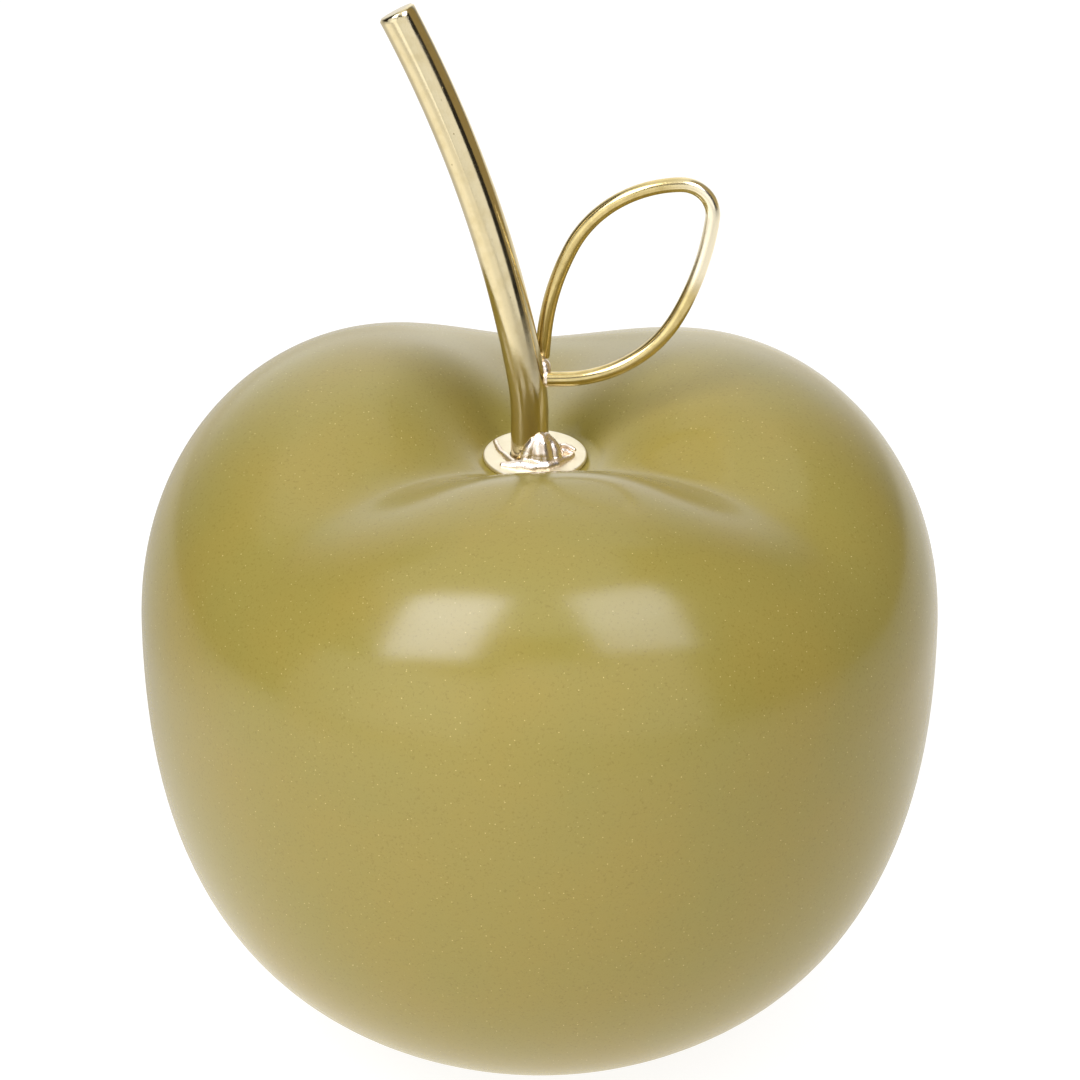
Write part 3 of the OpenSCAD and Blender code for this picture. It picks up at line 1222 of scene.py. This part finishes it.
@dataclass
class WireLeaf:
    """The leaf: one wire bent round to an outline, and the braze at its two ends.

    Lengths are in millimetres and angles in degrees. A bend is its radius as a share of the
    leaf's length, its angle, and whether the wire twists after it. The dents are as the stem's.
    """

    length: float = 34.0
    wire_r: float = 1.0
    at: float = 12.9
    turn: float = 49.0
    yaw: float = 0.8
    lean: float = 4.5
    twist: float = 6.3
    gap: float = 0.15
    first: float = 0.077
    bends: tuple[tuple[float, float, float], ...] = (
        (1.085, 21.7, 0), (0.462, 63.8, 1), (0.121, 97.8, 0), (1.157, 20.2, 0), (0.502, 62.0, 0))
    dents: tuple[float, float, float] = (0.02, 0.018, 0.005)
    wire_sides: int = 28
    wire_ring_gap: float = 0.4

    def outwards(self) -> Vector:
        """The direction from the stem to the upper limb."""
        turn = math.radians(self.turn)
        return Vector((math.cos(turn), math.sin(turn), 0))

    def start(self, stem: GiltStem) -> Place:
        """The cut end of the upper limb, heading up.

        Args:
            stem: The stem that the wire is brazed to.

        Returns:
            The place there.
        """
        yaw = math.radians(self.yaw)
        offset = (stem.stem_r + self.wire_r + self.gap) * MM
        upright = Place(
            stem.place(self.at).point + offset * self.outwards(),
            Vector((math.cos(yaw), math.sin(yaw), 0)), UP)
        return upright.bent(0.0, self.lean)

    def steps(self, stem: GiltStem) -> list[Step]:
        """The steps of the wire, up to the stem's side.

        Args:
            stem: The stem that the wire is brazed to.

        Returns:
            The steps.
        """
        made = [Step(self.first * self.length * MM)]
        for share, angle, twists in self.bends:
            made.append(Step(share * self.length * MM, angle, -twists * self.twist))
        here = follow(self.start(stem), made)
        foot = stem.place(here.point.z / MM - stem.disc_z)
        made.append(Step(here.point.x - foot.point.x - (stem.stem_r + self.gap) * MM))
        return made

    def wire(self, stem: GiltStem) -> Piece:
        """Builds the wire.

        Args:
            stem: The stem that it is brazed to.

        Returns:
            The wire.
        """
        piece = BentBar(
            self.start(stem), self.steps(stem), self.wire_r * MM, self.wire_sides,
            self.wire_ring_gap * MM).build()

        def hammered(place: Vector, normal: Vector) -> Vector:
            """Wire that was bent with pliers keeps shallow flats.

            Args:
                place: A point of the wire.
                normal: Its direction outwards.

            Returns:
                How far the point moves.
            """
            slow = uneven(place, 4.5, (2, 2, 7))
            quick = uneven(place, 1.6)
            mean, long, short = self.dents
            return normal * min(0.0, -mean + long * slow + short * quick) * MM

        move_points(piece, hammered)
        return settle(piece, "leaf_loop", 50.0)

    def braze(self, stem: GiltStem) -> Piece:
        """Builds the fillet of braze between the wire's ends and the stem.

        Args:
            stem: The stem.

        Returns:
            The fillet.
        """
        end = follow(self.start(stem), self.steps(stem))
        upper = stem.place(self.at).point + stem.stem_r * MM * self.outwards()
        lower = end.point - Vector((self.gap * MM, 0, 0))
        # Each ball's share of the way down, its radius, and how far right and forward it stands
        balls = [(-0.1, 0.8, 0), (0.1, 1.0, 0.2), (0.3, 1.15, 0.35), (0.5, 1.05, 0.25), (0.72, 0.7, 0),
                 (0.9, 0.9, 0.1), (1.1, 0.8, 0)]
        parts = [ball(upper.lerp(lower, share) + Vector((out, -out, 0)) * MM, radius * MM)
                 for share, radius, out in balls]
        return weld_together(parts, "braze_fillet", None)


@dataclass
class FeltPads:
    """The felt pads under the foot ring. Millimetres."""

    count: int = 4
    radius: float = 3.5
    thickness: float = 1.5
    circle: float = 16.0
    sides: int = 48
    rings: int = 3
    ring_gap: float = 0.8
    edge_round: float = 0.2
    fuzz: float = 0.06
    fuzz_size: float = 0.7

    def build(self) -> list[Piece]:
        """Cuts one pad and copies it round the foot ring.

        Returns:
            The pads.
        """

        def fuzzy(place: Vector, normal: Vector) -> Vector:
            """A cut felt edge is never quite true."""
            return -normal * self.fuzz * MM * abs(uneven(place, self.fuzz_size))

        tablet = Tablet(Vector(), self.radius * MM, self.thickness * MM, self.sides)
        first = tablet.begin([self.ring_gap * MM] * self.rings)
        tablet.round_rims(first, self.edge_round * MM, 3)
        pick_all()
        bpy.ops.mesh.subdivide(number_cuts=1)
        close_edit()
        pads = []
        for i in range(self.count):
            turn = (i + 0.5) * math.tau / self.count
            take(first)
            bpy.ops.object.duplicate(linked=False)
            pad = bpy.context.active_object
            pad.location = Vector((math.cos(turn), math.sin(turn), 0)) * self.circle * MM
            pad.rotation_euler = (0, 0, turn)
            settle(pad, f"felt_pad_{i + 1}", 50.0)
            move_points(pad, fuzzy)
            pads.append(pad)
        bpy.data.objects.remove(first)
        return pads


# Studio


@dataclass(frozen=True)
class Softbox:
    """A square lamp with a diffuser, aimed at the fruit. Angles in degrees, sizes in metres."""

    name: str
    azimuth: float
    elevation: float
    distance: float
    width: float
    height: float
    roll: float
    radiance: float


@dataclass(frozen=True)
class Card:
    """An upright card round the table, seen only in reflections and as shade.

    Angles are in degrees and sizes in metres. What is mirrored comes on top of the glow where
    gloss and metal show the card, and both fall to a share, dim, over its soft sides.
    """

    name: str
    start: float
    stop: float
    distance: float
    low: float
    high: float
    colour: str
    glow: float
    mirrored: float = 0.0
    dim: float = 1.0
    soft_sides: tuple[float, float] = (0.01, 0.01)
    tint: str = "FFFFFF"


def direction(azimuth: float, elevation: float) -> Vector:
    """The direction at an azimuth from +X towards +Y and an elevation, in degrees."""
    turn, lift = math.radians(azimuth), math.radians(elevation)
    return Vector((math.cos(lift) * math.cos(turn), math.cos(lift) * math.sin(turn), math.sin(lift)))


def looks(tree: bpy.types.NodeTree) -> tuple[bpy.types.NodeSocket, bpy.types.Node]:
    """Tells what looks at a surface.

    Args:
        tree: The node tree that asks.

    Returns:
        Whether it is the camera, and whether it is the camera, a mirror or glass.
    """
    rays = add_node(tree, "LightPath").outputs
    camera = rays["Is Camera Ray"]
    first = add_node(tree, "Math", MAXIMUM, {0: camera, 1: rays["Is Glossy Ray"]})
    return camera, add_node(tree, "Math", MAXIMUM, {0: first, 1: rays["Is Transmission Ray"]})


def faded(tree: bpy.types.NodeTree, strength: Source, shares: Sequence[dict]) -> Source:
    """Takes smooth shares of a strength, one after the other.

    Args:
        tree: The node tree that gets the nodes.
        strength: The full strength.
        shares: Each share, as ranged gives it.

    Returns:
        What is left.
    """
    for share in shares:
        left = add_node(tree, "MapRange", SMOOTH, share)
        strength = add_node(tree, "Math", MULTIPLY, {0: strength, 1: left})
    return strength


@dataclass
class Studio:
    """Camera, lamps, table and cards round the fruit. Sizes in metres, angles in degrees."""

    target: tuple[float, float, float] = (0.00005, 0.0, 0.0708)
    camera_distance: float = 0.9
    camera_elevation: float = 29.0
    lens: float = 226.5
    clip: tuple[float, float] = (0.05, 20.0)
    lamp_height: float = 0.06
    lamp_colour: tuple[float, float, float] = (0.84, 0.86, 1.0)
    table_half: float = 0.9
    table_back: float = 1.95
    table_colour: str = "92918E"
    table_glow: float = 0.665
    table_tint: str = "FFFAED"
    table_seen: float = 0.3
    table_white: float = 0.88
    ambient: float = 0.21
    card_step: float = 5.0
    softboxes: list[Softbox] = field(default_factory=lambda: [
        Softbox("softbox_left", -136, 49, 1.2, 0.6, 0.76, 18, 7.35),
        Softbox("softbox_right", -46.5, 51.5, 1.2, 0.62, 0.74, -14, 4.4),
    ])
    cards: list[Card] = field(default_factory=lambda: [
        Card("room_wall", 112, 426, 2.4, -0.7, 2.8, "38322A", 0.02),
        Card("white_backdrop", 38, 148, 1.92, 0.0, 2.8, "6C6A66", 0.85, 0.42, 0.1, (45, 45)),
        Card("left_panel", 195, 258, 0.95, 0.0, 0.52, "A8A8A6", 0.42, 0.88, 0.35, (38, 8)),
        Card("front_panel", 257, 286, 0.95, 0.0, 0.72, "A8A8A6", 0.36, 0.44),
        Card("right_panel", 286, 321, 0.95, 0.0, 0.64, "7C7874", 0.45, 0.54, 0.1, (0.01, 7)),
        Card("side_wall", 346, 402, 1.86, -0.1, 5.0, "3A3322", 0.04, 0.43, tint="E0C890"),
    ])

    def camera(self) -> None:
        """Places the camera at the photograph's angle."""
        back = direction(-90.0, self.camera_elevation)
        place = Vector(self.target) + back * self.camera_distance
        bpy.ops.object.camera_add(location=place, rotation=(-back).to_track_quat("-Z", "Y").to_euler())
        camera = bpy.context.active_object
        camera.data.lens = self.lens
        camera.data.clip_start, camera.data.clip_end = self.clip
        bpy.context.scene.camera = camera

    def lamps(self) -> None:
        """Hangs the softboxes."""
        for box in self.softboxes:
            towards = direction(box.azimuth, box.elevation)
            roll = Quaternion((0.0, 0.0, 1.0), math.radians(box.roll))
            bpy.ops.object.light_add(
                type="AREA", location=UP * self.lamp_height + towards * box.distance,
                rotation=(towards.to_track_quat("Z", "Y") @ roll).to_euler())
            lamp = bpy.context.active_object
            lamp.name = box.name
            lamp.data.shape = "RECTANGLE"
            lamp.data.color = self.lamp_colour
            lamp.data.size = box.width
            lamp.data.size_y = box.height
            lamp.data.energy = box.radiance * math.pi * box.width * box.height
            lamp.visible_camera = False

    def glowing(
        self, name: str, colour: str, glow: float, seen: float, card: Card | None = None
    ) -> bpy.types.Material:
        """A matt surface that is lit through a little, and shows white behind the object.

        Args:
            name: The material's name.
            colour: Its sRGB hex colour.
            glow: How brightly it is lit through.
            seen: What is added where the camera, a mirror or glass shows it.
            card: The card whose tint and fall of glow it takes, or None on the table.

        Returns:
            The material.
        """
        made, shader, place = begin_material(name)
        tree = made.node_tree
        tree.nodes.remove(shader)
        camera, shown = looks(tree)
        level = add_node(tree, "Math", {"operation": "MULTIPLY_ADD"}, {0: shown, 1: seen, 2: glow})
        if card is None:
            swept = self.swept(tree, place, level)
            level = add_node(tree, "MapRange", inputs=ranged(camera, 0.0, 1.0, swept, self.table_white))
        elif card.dim < 1.0:
            level = self.fallen_off(tree, place, level, card)
        matt = add_node(tree, "BsdfDiffuse", inputs={"Color": linear(colour)})
        tint = add_node(tree, "Mix", RGBA, {
            "Factor": camera, "A": linear(card.tint if card else self.table_tint), "B": linear("FFFFFF")})
        light = add_node(tree, "Emission", inputs={"Color": tint, "Strength": level})
        both = add_node(tree, "AddShader", inputs={0: matt, 1: light})
        feed(tree.nodes["Material Output"], {"Surface": both})
        return made

    @staticmethod
    def swept(tree: bpy.types.NodeTree, place: Source, strength: Source) -> Source:
        """Lets the table's glow fall to its sides, its front and its right, and rise far behind.

        Args:
            tree: The table's node tree.
            place: The table's coordinates.
            strength: The glow in the middle.

        Returns:
            The glow over the whole table.
        """
        # Each share runs from one place, in metres, to another, and from one value to another
        over = add_node(tree, "SeparateXYZ", inputs={"Vector": place}).outputs
        aside = add_node(tree, "Math", {"operation": "ABSOLUTE"}, {0: over["X"]})
        behind = add_node(tree, "MapRange", SMOOTH, ranged(over["X"], -0.1, 0.12, 0.46, 1.15))
        lit = faded(tree, strength, [
            ranged(aside, 0.22, 0.5, 1.0, 0.6),
            ranged(over["Y"], -0.36, -0.14, 0.75, 1.0),
            ranged(over["Y"], -0.03, 0.1, 1.0, behind),
            ranged(over["X"], 0.2, -0.14, 0.64, 1.12),
        ])
        back = add_node(tree, "MapRange", SMOOTH, ranged(over["Y"], 0.1, 0.45, 0.0, 0.25))
        return add_node(tree, "Math", {"operation": "ADD"}, {0: lit, 1: back})

    @staticmethod
    def fallen_off(tree: bpy.types.NodeTree, place: Source, strength: Source, card: Card) -> Source:
        """Lets a card's glow fall off towards its sides.

        Args:
            tree: The card's node tree.
            place: The card's coordinates.
            strength: The full glow.
            card: The card.

        Returns:
            The glow after the fall.
        """
        over = add_node(tree, "SeparateXYZ", inputs={"Vector": place}).outputs
        azimuth = add_node(tree, "Math", {"operation": "ARCTAN2"}, {0: over["Y"], 1: over["X"]})
        start, stop = (math.radians((angle + 180) % 360 - 180) for angle in (card.start, card.stop))
        rise, fall = (math.radians(side) for side in card.soft_sides)
        return faded(tree, strength, [
            ranged(azimuth, start, start + rise, card.dim, 1.0),
            ranged(azimuth, stop - fall, stop, 1.0, card.dim),
        ])

    def table(self) -> None:
        """Lays the pale table."""
        deselect()
        middle = (self.table_back - self.table_half) / 2
        bpy.ops.mesh.primitive_plane_add(size=2.0, location=(0, middle, 0))
        top = bpy.context.active_object
        top.scale = (self.table_half, (self.table_back + self.table_half) / 2, 1.0)
        bake_place()
        top.name = "table"
        top.data.materials.append(
            self.glowing("table_acrylic_white", self.table_colour, self.table_glow, self.table_seen))

    def walls(self) -> None:
        """Stands the cards round the table."""
        for card in self.cards:
            wall = open_point(direction(card.start, 0) * card.distance + UP * (card.low + MM))
            up = UP * (card.high - card.low)
            bpy.ops.mesh.extrude_vertices_move(TRANSFORM_OT_translate={"value": up})
            pick_all()
            span = card.stop - card.start
            steps = max(4, round(span / self.card_step))
            bpy.ops.mesh.spin(steps=steps, angle=-math.radians(span), center=(0, 0, 0), axis=UP)
            close_edit()
            wall.name = card.name
            wall.data.materials.append(self.glowing(card.name, card.colour, card.glow, card.mirrored, card))
            wall.visible_camera = False

    def world(self) -> None:
        """Lights the room evenly and shows it white."""
        scene = bpy.context.scene
        scene.world = bpy.data.worlds.new("room_light")
        scene.world.use_nodes = True
        tree = scene.world.node_tree
        strength = add_node(tree, "MapRange", inputs=ranged(looks(tree)[1], 0.0, 1.0, self.ambient, 1.0))
        feed(tree.nodes["Background"], {"Color": linear("FFFFFF"), "Strength": strength})
        scene.view_settings.view_transform = "Standard"

    def build(self) -> None:
        """Sets the whole studio up."""
        self.camera()
        self.lamps()
        self.table()
        self.walls()
        self.world()


def main() -> None:
    """Builds the studio and every piece."""
    logging.basicConfig(level=logging.INFO, format="%(name)s: %(message)s")
    Studio().build()
    hand_in(FruitBody().build(), Slot.GLAZE, OliveGlaze().material(), "apple_shell")
    stem = GiltStem()
    leaf = WireLeaf()
    rod_finish = GiltPlating(
        "gold_plating_on_rod", "D8CBA6", "BCA870", 0.1, spatter_mm=(86.0, 97.0), spatter_gain=3.5)
    disc_finish = GiltPlating("gold_plating_satin", "F4EBD0", "E2D6B4", 0.42, wave_depth_mm=0.004)
    weld_finish = GiltPlating(
        "gold_plating_on_weld", "F8EAD8", "B08A5A", 0.24, tarnish_mm=1.2, pit_cell_mm=0.9)
    # The pale patch on the wire's upper right limb is a painted reflection of the lamp on the right
    wire_finish = GiltPlating(
        "gold_plating_on_wire", "D9C58A", "8A7434", 0.16, tarnish_mm=1.6, glint_mm=10.0,
        glint_at_mm=(23.0, 2.0, 115.0))
    hand_in(stem.rod(), Slot.STEM, rod_finish.material(), "stem_rod")
    hand_in(stem.disc(), Slot.DISC, disc_finish.material(), "stem_disc")
    weld_material = weld_finish.material()
    hand_in(stem.weld(Vector((stem.stem_x, 0, stem.disc_z)) * MM), Slot.WELD, weld_material, "foot_weld")
    hand_in(leaf.wire(stem), Slot.WIRE, wire_finish.material(), "leaf_wire")
    hand_in(leaf.braze(stem), Slot.WELD, weld_material, "leaf_braze")
    felt = WOOL_FELT.material()
    for pad in FeltPads().build():
        hand_in(pad, Slot.FELT, felt, "foot_pads")
    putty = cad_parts["anchor_putty"]
    putty.data.materials.clear()
    putty.data.materials.append(EPOXY_PUTTY.material())


if __name__ == "__main__":
    main()
